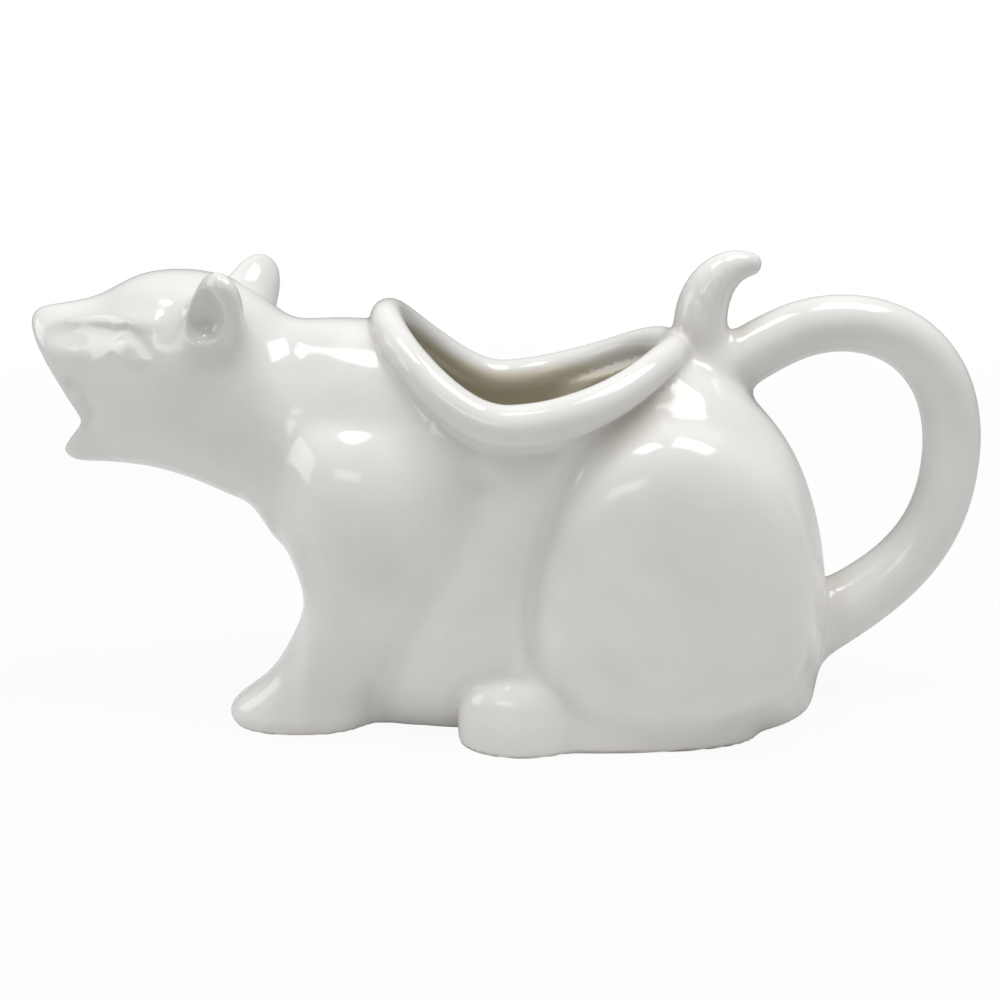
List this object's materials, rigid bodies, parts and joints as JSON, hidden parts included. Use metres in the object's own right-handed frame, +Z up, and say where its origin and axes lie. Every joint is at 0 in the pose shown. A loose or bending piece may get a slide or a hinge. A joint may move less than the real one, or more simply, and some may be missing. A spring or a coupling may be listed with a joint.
{
  "type": "cat milk jug",
  "caption": "Hollow glazed ceramic milk jug shaped as a crouching cat, filled through a rimmed opening in its back, poured from the open mouth and held by the looped tail.",
  "frame": {"origin": "on the table plane, under the middle of the filling mouth", "axes": "+Z up, the cat faces -X, its tail loops to +X, its left side is -Y"},
  "size_m": [0.1842, 0.0628, 0.0905],
  "materials": {
    "glaze": "gloss white glaze"
  },
  "bodies": {
    "root": {"body_shell": "glaze", "head_spout": "glaze", "left_ear": "glaze", "right_ear": "glaze", "left_foreleg": "glaze", "right_foreleg": "glaze", "left_hind_paw": "glaze", "right_hind_paw": "glaze", "rolled_rim": "glaze", "tail_handle": "glaze", "thumb_rest": "glaze"}
  },
  "joints": []
}
